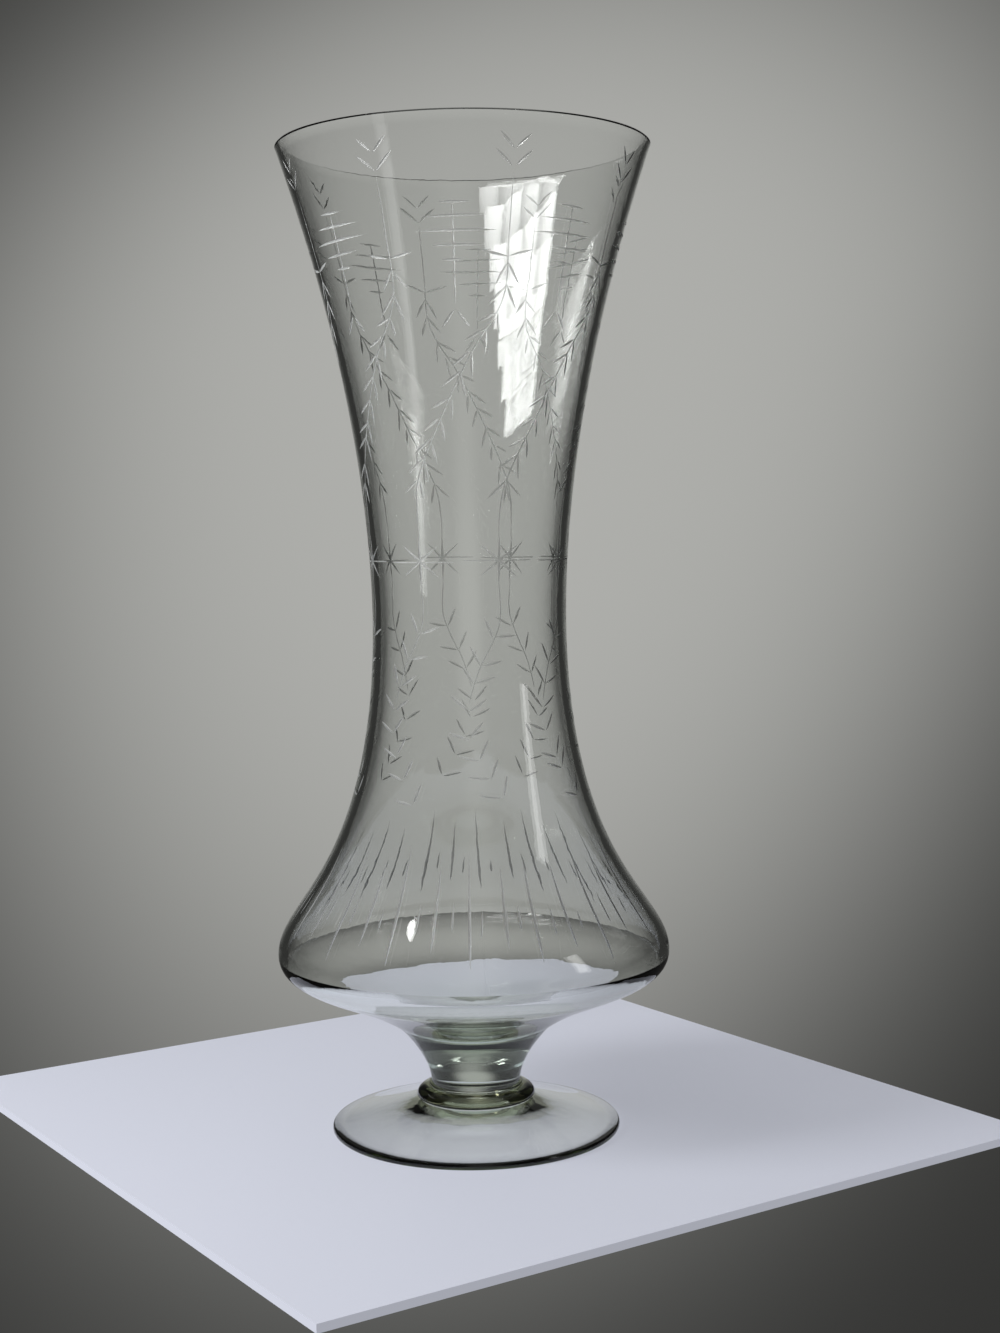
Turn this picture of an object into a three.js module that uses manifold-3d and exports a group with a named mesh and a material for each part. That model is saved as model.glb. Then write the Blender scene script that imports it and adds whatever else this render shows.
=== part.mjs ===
// Engraved trumpet vase in clear hot-worked glass.
// Four gathers of glass are fused end to end: a disc foot, a collar, a solid stem and the
// blown bowl, which swells to a low bulb, draws in to a waist and opens as a trumpet.
// A wheel has cut needle flutes round the bulb and a ring of stars over the waist.
// Millimetres, +Z up, origin on the axis of the vase at the surface it stands on.

import * as THREE from 'three';
import { mergeVertices } from 'three/addons/utils/BufferGeometryUtils.js';
import Module from 'manifold-3d';

const wasm = await Module();
wasm.setup();

// Driving dimensions: foot

const footRadius = 74.4;
const footHeight = 16;
const footEdgeHeight = 3.6;
const footSeatRadius = 28.5;
const footSlopePower = 1.15;
const contactRingWidth = 9;
const contactBevel = 1;
const undersideHollow = 10.5;
const undersidePower = 1.5;
const pontilRadius = 13;
const pontilDepth = 1.2;

// Driving dimensions: collar

const collarRadius = 30.5;
const collarHeight = 7.5;
const collarWidestRise = 1.8;
const collarTopRadius = 23.6;
const collarBeadHeight = 1.4;

// Driving dimensions: stem

const stemHeight = 30.5;
const stemFootRadius = 23;
const stemTopRadius = 40;
const stemFootEase = 14;
const stemTopEase = 1;

// Driving dimensions: bowl

const bowlHeight = 446;
const bulbRadius = 100.8;
const bulbRise = 39;
const waistRadius = 49.5;
const waistRise = 211;
const rimRadius = 94.1;
const flarePower = 1.8;
const waistEase = 130;
const bulbTopEase = 27;
const bulbUnderEase = 18.4;
const undersideEase = 37.8;
const undersideSlopeDegrees = 34.2;
const wallAtRim = 3.4;
const wallAtBody = 4.2;
const floorThickness = 8;
const floorDish = 1.5;
const rimBevel = 0.6;

// Driving dimensions: wheel cuts. Every group of four flutes is long, short, middling, short.
// Flutes end at the given heights over the widest place of the bulb.

const fluteCount = 64;
const fluteTurnDegrees = -2.3;
const longFlute = { high: 75, low: 7, depth: 0.85 };
const middlingFlute = { high: 65, low: 14, depth: 0.8 };
const shortFlute = { high: 40, low: 24, depth: 0.6 };
const fluteDeepest = 0.7;
const starCount = 8;
const starTurnDegrees = 17;
const starRise = 28.5;
const starDepth = 0.45;
const starRays = [
  { leanDegrees: 0, length: 26 },
  { leanDegrees: 48, length: 25 },
  { leanDegrees: -48, length: 25 },
];
const cutSpread = 1.4;
const cutterProud = 0.2;

// Fineness of the facets

const turns = 40;
const trumpetSteps = 8;
const bulbSteps = 10;
const undersideSteps = 5;
const starRaySteps = 4;
const leastFluteStep = 0.2;
const sameCorner = 1e-5;
const stemSteps = 7;
const footSteps = 8;
const hollowSteps = 4;
const pontilSteps = 2;
const collarSteps = 6;
const beadSteps = 4;

// Heights at which one gather is fused to the next

const collarSeat = footHeight;
const stemSeat = collarSeat + collarHeight;
const bowlSeat = stemSeat + stemHeight;
const rimHeight = bowlSeat + bowlHeight;
const waistHeight = bowlSeat + waistRise;
const bulbHeight = bowlSeat + bulbRise;

const starHeight = waistHeight + starRise;

const undersideSlope = THREE.MathUtils.degToRad(undersideSlopeDegrees);
const fluteTurn = THREE.MathUtils.degToRad(fluteTurnDegrees);
const starTurn = THREE.MathUtils.degToRad(starTurnDegrees);

// A whole number of the bowl's facets lies between one flute and the next.
const bowlTurns = fluteCount * Math.max(1, Math.round(turns / fluteCount));

// Profile points are (radius, height) pairs.

const at = (radius, height) => new THREE.Vector2(radius, height);

function bezier(start, startHandle, endHandle, end, steps) {
  return new THREE.CubicBezierCurve(start, startHandle, endHandle, end).getPoints(steps);
}

// Part of an ellipse about (radius, height), bulging outwards. It turns from one angle to another,
// in quarter turns from level.
function arc(radius, height, reach, rise, from, to, steps) {
  const points = [];
  for (let i = 0; i <= steps; i += 1) {
    const angle = (Math.PI / 2) * THREE.MathUtils.lerp(from, to, i / steps);
    points.push(at(radius + reach * Math.cos(angle), height + rise * Math.sin(angle)));
  }
  return points;
}

// A profile that runs up the outside of a piece, from the axis back to the axis, is turned
// about the axis, and the axis is then stood upright. The first facet starts at the given turn.
function turned(profile, facets = turns, start = 0) {
  const points = profile.filter((point, i) => i === 0 || point.distanceTo(profile[i - 1]) > 1e-6);
  return new THREE.LatheGeometry(points, facets, start, 2 * Math.PI).rotateX(Math.PI / 2);
}

// A closed mesh as a solid that can be cut: corners in one place become one corner, and faces
// that this leaves without area are dropped.
function solid(geometry) {
  const bare = geometry.clone();
  bare.deleteAttribute('normal');
  bare.deleteAttribute('uv');
  const joined = mergeVertices(bare, sameCorner);
  const corners = joined.index.array;
  const triVerts = [];
  for (let i = 0; i < corners.length; i += 3) {
    const [a, b, c] = corners.slice(i, i + 3);
    if (a !== b && b !== c && c !== a) {
      triVerts.push(a, b, c);
    }
  }
  const mesh = new wasm.Mesh({
    numProp: 3,
    vertProperties: joined.attributes.position.array,
    triVerts: Uint32Array.from(triVerts),
  });
  return new wasm.Manifold(mesh);
}

function withCuts(geometry, cutters) {
  const body = cutters.reduce((rest, cutter) => rest.subtract(solid(cutter)), solid(geometry));
  const { vertProperties, triVerts } = body.getMesh();
  const result = new THREE.BufferGeometry();
  result.setAttribute('position', new THREE.BufferAttribute(vertProperties, 3));
  result.setIndex(new THREE.BufferAttribute(triVerts, 1));
  result.computeVertexNormals();
  return result;
}

// Foot: a cone of even wall on a ground contact ring, hollow below, with a ground pontil mark

function footProfile() {
  const ringOuter = footRadius - contactBevel;
  const ringInner = ringOuter - contactRingWidth;
  const pontil = [];
  for (let i = 0; i < pontilSteps; i += 1) {
    const share = i / pontilSteps;
    pontil.push(at(pontilRadius * share, undersideHollow + pontilDepth * (1 - share ** 2)));
  }
  const hollow = [];
  for (let i = 0; i <= hollowSteps; i += 1) {
    const share = i / hollowSteps;
    const radius = pontilRadius + (ringInner - pontilRadius) * share;
    hollow.push(at(radius, undersideHollow * (1 - share ** undersidePower)));
  }
  const edge = [
    at(ringOuter, 0),
    at(footRadius, contactBevel),
    at(footRadius, footEdgeHeight - contactBevel),
  ];
  const slope = [];
  for (let i = 0; i <= footSteps; i += 1) {
    const share = i / footSteps;
    const radius = ringOuter + (footSeatRadius - ringOuter) * share;
    slope.push(at(radius, footEdgeHeight + (footHeight - footEdgeHeight) * share ** footSlopePower));
  }
  return [...pontil, ...hollow, ...edge, ...slope, at(0, footHeight)];
}

// Collar: a ring of glass round the joint, widest just over the foot, with a thin bead under the stem

function collarProfile() {
  const widest = collarSeat + collarWidestRise;
  const footReach = collarRadius - footSeatRadius;
  const ringReach = collarRadius - collarTopRadius;
  const ringRise = stemSeat - collarBeadHeight - widest;
  const beadRadius = collarBeadHeight / 2;
  return [
    at(0, collarSeat),
    ...arc(footSeatRadius, widest, footReach, collarWidestRise, -1, 0, collarSteps / 2),
    ...arc(collarTopRadius, widest, ringReach, ringRise, 0, 1, collarSteps),
    ...arc(collarTopRadius, stemSeat - beadRadius, beadRadius, beadRadius, -1, 1, beadSteps),
    at(0, stemSeat),
  ];
}

// Stem: solid, narrowest on the collar and spreading like a horn under the bowl

function stemProfile() {
  const flare = bezier(
    at(stemFootRadius, stemSeat),
    at(stemFootRadius, stemSeat + stemFootEase),
    at(
      stemTopRadius - stemTopEase * Math.cos(undersideSlope),
      bowlSeat - stemTopEase * Math.sin(undersideSlope),
    ),
    at(stemTopRadius, bowlSeat),
    stemSteps,
  );
  return [at(0, stemSeat), ...flare, at(0, bowlSeat)];
}

// Bowl: the outside as one fair curve from the stem to the rim

function bowlOutside() {
  const underside = bezier(
    at(stemTopRadius, bowlSeat),
    at(
      stemTopRadius + undersideEase * Math.cos(undersideSlope),
      bowlSeat + undersideEase * Math.sin(undersideSlope),
    ),
    at(bulbRadius, bulbHeight - bulbUnderEase),
    at(bulbRadius, bulbHeight),
    undersideSteps,
  );
  const shoulder = bezier(
    at(bulbRadius, bulbHeight),
    at(bulbRadius, bulbHeight + bulbTopEase),
    at(waistRadius, waistHeight - waistEase),
    at(waistRadius, waistHeight),
    bulbSteps,
  );
  const trumpet = [];
  for (let i = 1; i <= trumpetSteps; i += 1) {
    const share = i / trumpetSteps;
    const radius = waistRadius + (rimRadius - waistRadius) * share ** flarePower;
    trumpet.push(at(radius, waistHeight + (rimHeight - rimBevel - waistHeight) * share));
  }
  return [...underside, ...shoulder.slice(1), ...trumpet];
}

// The wall grows from the rim to the waist, and again under the bulb to the full floor.
function wallAt(point) {
  if (point.y >= waistHeight) {
    return THREE.MathUtils.mapLinear(point.y, waistHeight, rimHeight, wallAtBody, wallAtRim);
  }
  if (point.y >= bulbHeight) {
    return wallAtBody;
  }
  return THREE.MathUtils.mapLinear(point.x, stemTopRadius, bulbRadius, floorThickness, wallAtBody);
}

// The inside is the outside moved square to itself by the thickness of the wall.
function bowlInside(outside) {
  return outside.map((point, i) => {
    const before = outside[Math.max(i - 1, 0)];
    const after = outside[Math.min(i + 1, outside.length - 1)];
    const along = after.clone().sub(before).normalize();
    const wall = wallAt(point);
    return at(point.x - along.y * wall, point.y + along.x * wall);
  });
}

function bowlProfile(outside) {
  const inside = bowlInside(outside);
  const mouthRadius = inside.pop().x;
  const lip = [
    at(rimRadius - rimBevel, rimHeight),
    at(mouthRadius + rimBevel, rimHeight),
    at(mouthRadius, rimHeight - rimBevel),
  ];
  const floorHeight = inside[0].y - floorDish;
  return [at(0, bowlSeat), ...outside, ...lip, ...inside.reverse(), at(0, floorHeight)];
}

// Wheel cuts: the place on the outside of the bowl at a turn and a height, and the way it faces

function onWall(outside, turn, height) {
  const i = outside.findIndex((point) => point.y >= height);
  const step = outside[i].clone().sub(outside[i - 1]);
  const radius = outside[i].x - (step.x * (outside[i].y - height)) / step.y;
  step.normalize();
  const away = new THREE.Vector3(Math.sin(turn), -Math.cos(turn), 0);
  return {
    radius,
    place: away.clone().multiplyScalar(radius).setZ(height),
    facing: away.multiplyScalar(step.y).setZ(-step.x),
  };
}

// What a wheel takes out along a path on the wall: a V that is deepest at one share of the way
// and runs out at both ends. The cutter stands a little proud of the wall.
function groove(shares, placeAt, depth, deepest) {
  const path = shares.map(placeAt);
  const last = path.length - 1;
  const corners = path.flatMap(({ place, facing }, i) => {
    const along = path[Math.min(i + 1, last)].place.clone().sub(path[Math.max(i - 1, 0)].place).normalize();
    const across = new THREE.Vector3().crossVectors(along, facing);
    const off = (shares[i] - deepest) / (shares[i] < deepest ? deepest : 1 - deepest);
    const under = depth - (depth + cutterProud) * off ** 2;
    const half = cutSpread * (under + cutterProud);
    const top = place.clone().addScaledVector(facing, cutterProud);
    return [
      place.clone().addScaledVector(facing, -under),
      top.clone().addScaledVector(across, half),
      top.clone().addScaledVector(across, -half),
    ];
  });
  const faces = [];
  for (let i = 0; i < last; i += 1) {
    for (let side = 0; side < 3; side += 1) {
      const here = 3 * i + side;
      const beside = 3 * i + ((side + 1) % 3);
      faces.push(here, here + 3, beside, beside, here + 3, beside + 3);
    }
  }
  return new THREE.BufferGeometry().setFromPoints(corners).setIndex(faces);
}

// Flutes run down the shoulder of the bulb, and bend where its facets do.
function flute(outside, number) {
  const kinds = [longFlute, shortFlute, middlingFlute, shortFlute];
  const { high, low, depth } = kinds[number % kinds.length];
  const turn = fluteTurn + (2 * Math.PI * number) / fluteCount;
  const bends = outside
    .map((point) => point.y - bulbHeight)
    .filter((rise) => rise > low + leastFluteStep && rise < high - leastFluteStep)
    .map((rise) => THREE.MathUtils.inverseLerp(high, low, rise));
  const placeAt = (share) => onWall(outside, turn, bulbHeight + THREE.MathUtils.lerp(high, low, share));
  return groove([0, ...bends.reverse(), 1], placeAt, depth, fluteDeepest);
}

// Three rays cross in each star.
function starRay(outside, number, { leanDegrees, length }) {
  const lean = THREE.MathUtils.degToRad(leanDegrees);
  const middle = starTurn + (2 * Math.PI * number) / starCount;
  const { radius } = onWall(outside, middle, starHeight);
  const shares = Array.from({ length: starRaySteps + 1 }, (_, i) => i / starRaySteps);
  const placeAt = (share) => {
    const off = length * (share - 0.5);
    return onWall(outside, middle + (off * Math.sin(lean)) / radius, starHeight + off * Math.cos(lean));
  };
  return groove(shares, placeAt, starDepth, 0.5);
}

function bowl() {
  const outside = bowlOutside();
  const cutters = [];
  for (let number = 0; number < fluteCount; number += 1) {
    cutters.push(flute(outside, number));
  }
  for (let number = 0; number < starCount; number += 1) {
    cutters.push(...starRays.map((ray) => starRay(outside, number, ray)));
  }
  return withCuts(turned(bowlProfile(outside), bowlTurns, fluteTurn), cutters);
}

// Each gather has its own glass: nearly colourless in the bowl, greener where it is thick.

const clearGlass = new THREE.MeshStandardMaterial({ color: 0xdde3dc, roughness: 0.04, metalness: 0 });
const stemGlass = new THREE.MeshStandardMaterial({ color: 0xc3cbbf, roughness: 0.04, metalness: 0 });
const collarGlass = new THREE.MeshStandardMaterial({ color: 0x8b9563, roughness: 0.05, metalness: 0 });
const footGlass = new THREE.MeshStandardMaterial({ color: 0x93a08c, roughness: 0.05, metalness: 0 });

function piece(name, geometry, material) {
  const mesh = new THREE.Mesh(geometry, material);
  mesh.name = name;
  return mesh;
}

const vase = new THREE.Group();
vase.add(
  piece('foot', turned(footProfile()), footGlass),
  piece('collar', turned(collarProfile()), collarGlass),
  piece('stem', turned(stemProfile()), stemGlass),
  piece('bowl', bowl(), clearGlass),
);

export default vase;
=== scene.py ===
"""Engraved trumpet vase in clear hot-worked glass, on a pale floor."""

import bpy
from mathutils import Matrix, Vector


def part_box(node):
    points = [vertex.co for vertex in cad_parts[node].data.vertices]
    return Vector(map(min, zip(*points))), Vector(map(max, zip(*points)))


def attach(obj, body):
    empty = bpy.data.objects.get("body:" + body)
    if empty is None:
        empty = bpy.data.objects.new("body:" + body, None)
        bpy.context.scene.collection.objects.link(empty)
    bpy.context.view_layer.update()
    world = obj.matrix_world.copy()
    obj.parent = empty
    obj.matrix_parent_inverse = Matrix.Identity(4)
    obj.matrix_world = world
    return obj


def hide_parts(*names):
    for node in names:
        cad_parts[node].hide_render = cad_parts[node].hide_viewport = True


bl_info = {
    "name": "Engraved Trumpet Vase",
    "version": (1, 0, 0),
    "blender": (4, 5, 0),
    "location": "3D View > Sidebar > Vase",
    "description": "Builds a footed glass vase with wheel-cut ferns, stars and needle flutes",
    "category": "Add Mesh",
}

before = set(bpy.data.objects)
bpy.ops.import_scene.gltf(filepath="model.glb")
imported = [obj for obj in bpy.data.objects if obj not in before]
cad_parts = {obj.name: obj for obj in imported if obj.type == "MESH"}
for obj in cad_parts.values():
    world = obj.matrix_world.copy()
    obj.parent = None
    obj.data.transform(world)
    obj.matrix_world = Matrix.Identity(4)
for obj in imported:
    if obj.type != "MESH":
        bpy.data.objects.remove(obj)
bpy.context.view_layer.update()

import math

import bpy
import numpy as np
from bpy.props import FloatProperty, FloatVectorProperty, IntProperty, PointerProperty
from mathutils import Matrix

BODY = "root"
MM = 0.001
GLASS_INDEX = 1.52
# Gathers that are fused stand this far apart, so that no two faces share a place.
WELD_GAP = 0.01 * MM
# The centre of a fused face may lie this far beyond the limits of its weld.
WELD_MARGIN = 4 * WELD_GAP


# Property groups


def length(name, default, description):
    """A size in metres that a user may change."""
    return FloatProperty(
        name=name, default=default, description=description, subtype="DISTANCE", unit="LENGTH"
    )


def angle(name, degrees, description):
    """An angle that a user may change."""
    return FloatProperty(name=name, default=math.radians(degrees), description=description, subtype="ANGLE")


def number(name, default, description):
    """A plain number that a user may change."""
    return FloatProperty(name=name, default=default, description=description)


def whole(name, default, description):
    """A whole number that a user may change."""
    return IntProperty(name=name, default=default, description=description)


def colour(name, default, description):
    """A linear colour that a user may change."""
    return FloatVectorProperty(name=name, default=default, description=description, subtype="COLOR", size=3)


def seat_of(node):
    """Height of the lower face of a node in the frame."""
    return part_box(node)[0].z


def top_of(node):
    """Height of the upper face of a node in the frame."""
    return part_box(node)[1].z


def reach_of(node):
    """Greatest radius of a round node in the frame."""
    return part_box(node)[1].x


class VaseSizes(bpy.types.PropertyGroup):
    """Outline of the vase. The greatest radii and the seats are those of the frame."""

    rim_radius: length("Rim radius", 94.1 * MM, "Outer radius of the mouth")
    waist_radius: length("Waist radius", 49.5 * MM, "Outer radius at the narrowest place of the bowl")
    waist_rise: length("Waist rise", 211 * MM, "Height of the waist over the bowl's seat")
    bulb_rise: length("Bulb rise", 39 * MM, "Height of the widest place over the bowl's seat")
    waist_ease: length("Waist ease", 130 * MM, "How far the waist stays slim below its narrowest place")
    bulb_top_ease: length("Bulb top ease", 27 * MM, "How far the bulb stays wide above its widest place")
    bulb_under_ease: length("Bulb under ease", 18.4 * MM, "How far the bulb stays wide below that place")
    underside_ease: length("Underside ease", 37.8 * MM, "Length of the straight start of the underside")
    wall_at_rim: length("Wall at rim", 3.4 * MM, "Thickness of the glass at the mouth")
    wall_at_body: length("Wall at body", 4.2 * MM, "Thickness of the glass at the waist and the bulb")
    floor_thickness: length("Floor thickness", 4.5 * MM, "Thickness of the glass over the middle of the seat")
    floor_push: length("Floor push", 1 * MM, "How far the middle of the floor is pushed up")
    floor_side: length("Floor side", 18.3 * MM, "How far the inside stays upright below the widest place")
    floor_level: length("Floor level", 10.2 * MM, "Radius to which the floor stays level")
    rim_bevel: length("Rim bevel", 0.6 * MM, "Bevel on the ground rim")
    stem_foot_radius: length("Stem foot radius", 23 * MM, "Radius of the stem on the collar")
    stem_foot_ease: length("Stem foot ease", 14 * MM, "How far the stem stays slim above the collar")
    stem_top_ease: length("Stem top ease", 1 * MM, "Length of the straight end of the stem's flare")
    tenon: length("Tenon", 2.2 * MM, "How far the stem reaches down into the collar")
    pocket_radius: length("Pocket radius", 20 * MM, "Radius of the air pocket that the collar closes in")
    foot_seat_radius: length("Foot seat radius", 28.5 * MM, "Radius of the foot's face under the collar")
    foot_edge_height: length("Foot edge height", 3.1 * MM, "Thickness of the foot at its edge")
    contact_ring_width: length("Contact ring width", 5 * MM, "Width of the ring that the vase stands on")
    contact_bevel: length("Contact bevel", 1 * MM, "Rounding of the foot's edge")
    underside_hollow: length("Underside hollow", 10.5 * MM, "Depth of the hollow under the foot")
    pontil_radius: length("Pontil radius", 13 * MM, "Radius of the ground pontil mark")
    pontil_depth: length("Pontil depth", 1.2 * MM, "Depth of the ground pontil mark")
    collar_widest_rise: length("Collar widest rise", 1.5 * MM, "Height of its widest place over the foot")
    collar_top_radius: length("Collar top radius", 23.6 * MM, "Radius of the collar under its bead")
    collar_bead_height: length("Collar bead height", 1.4 * MM, "Height of the bead under the stem")
    flare_power: number("Flare power", 1.8, "How late the trumpet opens")
    foot_slope_power: number("Foot slope power", 1.15, "Hollowness of the foot's top")
    underside_power: number("Underside power", 1.3, "Roundness of the foot's hollow")
    underside_slope: angle("Underside slope", 34.2, "Slope of the bowl's underside")
    wave: length("Wave", 0.05 * MM, "Unevenness left in the glass by blowing")


class CutSizes(bpy.types.PropertyGroup):
    """The engraving: how many times the pattern repeats, and how deep each wheel cuts."""

    repeats: whole("Repeats", 8, "Times that the pattern goes round the vase")
    flutes: whole("Flutes", 64, "Needle flutes round the bulb")
    first_flute: angle("First flute", -2.3, "Turn of the flutes")
    first_star: angle("First star", 17, "Turn of the pattern")
    star_height: length("Star height", 293.5 * MM, "Height of the ring of stars")
    leaf_length: length("Leaf length", 12 * MM, "Length of a fern stroke")
    leaf_depth: length("Leaf depth", 0.23 * MM, "Depth of a fern stroke")
    line_depth: length("Line depth", 0.12 * MM, "Depth of a vein or ring line")
    flute_depth: length("Flute depth", 0.26 * MM, "Depth of a needle flute")
    spread: number("Spread", 3.0, "Half width of a cut over its depth")
    unevenness: number("Unevenness", 1.0, "How far the hand wanders from the pattern")


class GlassColours(bpy.types.PropertyGroup):
    """What each gather of glass lets through, and the colours of the floor and the surroundings."""

    bowl: colour("Bowl", (0.62, 0.72, 0.62), "Glass of the bowl")
    stem: colour("Stem", (0.5, 0.62, 0.5), "Glass of the stem")
    collar: colour("Collar", (0.4, 0.42, 0.12), "Glass of the collar")
    foot: colour("Foot", (0.42, 0.52, 0.2), "Glass of the foot")
    floor: colour("Floor", (0.61, 0.63, 0.72), "Pale floor")
    surroundings: colour("Surroundings", (0.423, 0.425, 0.406), "Plain surroundings")


# Shader maths


class Value:
    """A shader socket. Used in sums, it adds the Math nodes that the sum needs."""

    def __init__(self, shader, socket):
        self.shader = shader
        self.socket = socket

    def maths(self, operation, first, second):
        """The Math node of that operation on two values."""
        return self.shader.node("ShaderNodeMath", {"operation": operation}, {0: first, 1: second})

    def __add__(self, other):
        return self.maths("ADD", self, other)

    def __radd__(self, other):
        return self.maths("ADD", other, self)

    def __sub__(self, other):
        return self.maths("SUBTRACT", self, other)

    def __rsub__(self, other):
        return self.maths("SUBTRACT", other, self)

    def __mul__(self, other):
        return self.maths("MULTIPLY", self, other)

    def __rmul__(self, other):
        return self.maths("MULTIPLY", other, self)

    def __truediv__(self, other):
        return self.maths("DIVIDE", self, other)

    def __pow__(self, other):
        return self.maths("POWER", self, other)

    def capped(self, most):
        """The value, or the most that it may be."""
        return self.maths("MINIMUM", self, most)

    def raised(self, least):
        """The value, or the least that it may be."""
        return self.maths("MAXIMUM", self, least)

    def exponential(self):
        """The number e to the power of the value."""
        return self.shader.node("ShaderNodeMath", {"operation": "EXPONENT"}, {0: self})


class Shader:
    """A node tree, emptied, that nodes are added to by their type, settings and inputs."""

    def __init__(self, owner):
        owner.use_nodes = True
        self.tree = owner.node_tree
        self.tree.nodes.clear()

    def node(self, kind, settings, inputs, output=0):
        """Adds a node, sets it, feeds it numbers, colours or links, and returns one output."""
        made = self.tree.nodes.new(kind)
        for name, value in settings.items():
            setattr(made, name, value)
        for name, value in inputs.items():
            if isinstance(value, Value):
                self.tree.links.new(value.socket, made.inputs[name])
            else:
                made.inputs[name].default_value = value
        return Value(self, made.outputs[output]) if len(made.outputs) else made


def axis_of(vector, name):
    """One part of a vector socket."""
    return vector.shader.node("ShaderNodeSeparateXYZ", {}, {"Vector": vector}, name)


def opaque(rgb):
    """A colour with its alpha."""
    return (*rgb, 1.0)


def attribute(shader, name):
    """A number stored with the faces of a piece, or nothing where the piece has none."""
    return shader.node("ShaderNodeAttribute", {"attribute_name": name}, {}, "Fac")


def noise(shader, place, scale, detail):
    """Noise from 0 to 1, in so many patches to the metre."""
    return shader.node("ShaderNodeTexNoise", {}, {"Vector": place, "Scale": scale, "Detail": detail}, "Fac")


def dull(shader, rgb, roughness, index=GLASS_INDEX):
    """A plain opaque finish."""
    finish = {"Base Color": opaque(rgb), "Roughness": roughness, "IOR": index}
    return shader.node("ShaderNodeBsdfPrincipled", {}, finish)


def glass(name, tint, strength, polish):
    """Clear glass: smooth where fire-polished, frosted in the cuts, coloured by its depth alone.

    Strength is the density of the tint, and polish the roughness that smears leave. Where a gather is
    fused to the next the surface is left out, and a crevice is darkened with painted shade."""
    cut_roughness = 0.3
    cut_grey = 0.32
    # Share of painted shade in the crevice under the collar: a near-black finish that stands in for the shade
    # there.
    painted_shade_cover = 0.9
    ripple_depth = 0.03 * MM
    grain_depth = 0.4 * MM
    material = bpy.data.materials.new(name)
    shader = Shader(material)
    place = shader.node("ShaderNodeTexCoord", {}, {}, "Object")
    cut = attribute(shader, "cut")
    smear = noise(shader, place, 18.0, 3.0)
    grain = noise(shader, place, 900.0, 2.0)
    ripple = noise(shader, place, 110.0, 2.0)
    uneven = shader.node("ShaderNodeBump", {}, {"Strength": 1.0, "Distance": ripple_depth, "Height": ripple})
    frost = {"Strength": 0.12, "Distance": grain_depth, "Height": cut * grain, "Normal": uneven}
    bump = shader.node("ShaderNodeBump", {}, frost)
    clear = shader.node(
        "ShaderNodeBsdfPrincipled",
        {},
        {
            "Base Color": (1.0, 1.0, 1.0, 1.0),
            "Roughness": polish * smear + cut * cut_roughness,
            "IOR": GLASS_INDEX,
            "Transmission Weight": 1.0,
            "Alpha": 1 - attribute(shader, "weld"),
            "Normal": bump,
        },
    )
    ground = dull(shader, (0.8, 0.82, 0.82), 0.6)
    frosted = shader.node("ShaderNodeMixShader", {}, {0: cut * (smear * cut_grey), 1: clear, 2: ground})
    # Painted shade: a near-black opaque finish where the collar's underside meets the foot, standing in for
    # the shade in that crevice.
    painted_shade_finish = dull(shader, (0.012, 0.013, 0.01), 0.8, 1.3)
    shade_share = attribute(shader, "painted_shade") * painted_shade_cover
    surface = shader.node("ShaderNodeMixShader", {}, {0: shade_share, 1: frosted, 2: painted_shade_finish})
    depth = shader.node("ShaderNodeVolumeAbsorption", {}, {"Color": opaque(tint), "Density": strength})
    shader.node("ShaderNodeOutputMaterial", {}, {"Surface": surface, "Volume": depth})
    return material


# Profiles and skins


def bezier(start, start_handle, end_handle, end, count):
    """Points along a cubic Bezier curve: at a share of the way, the mean of its four corners, weighted
    by the cube of the rest of the way, three times the square of the rest times the share, three times
    the rest times the square of the share, and the cube of the share."""
    share = np.linspace(0, 1, count)[:, None]
    rest = 1 - share
    return (
        rest**3 * np.array(start)
        + 3 * rest**2 * share * np.array(start_handle)
        + 3 * rest * share**2 * np.array(end_handle)
        + share**3 * np.array(end)
    )


def along(profile):
    """Distance along a profile at each of its points: the running sum of its steps."""
    steps = np.hypot(*np.diff(profile, axis=0).T)
    return np.concatenate([[0], np.cumsum(steps)])


def spaced(profile, spacing):
    """The profile again, with points at even distances of about the spacing."""
    run = along(profile)
    wanted = np.linspace(0, run[-1], max(2, round(run[-1] / spacing) + 1))
    return np.column_stack([np.interp(wanted, run, profile[:, axis]) for axis in (0, 1)])


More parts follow.
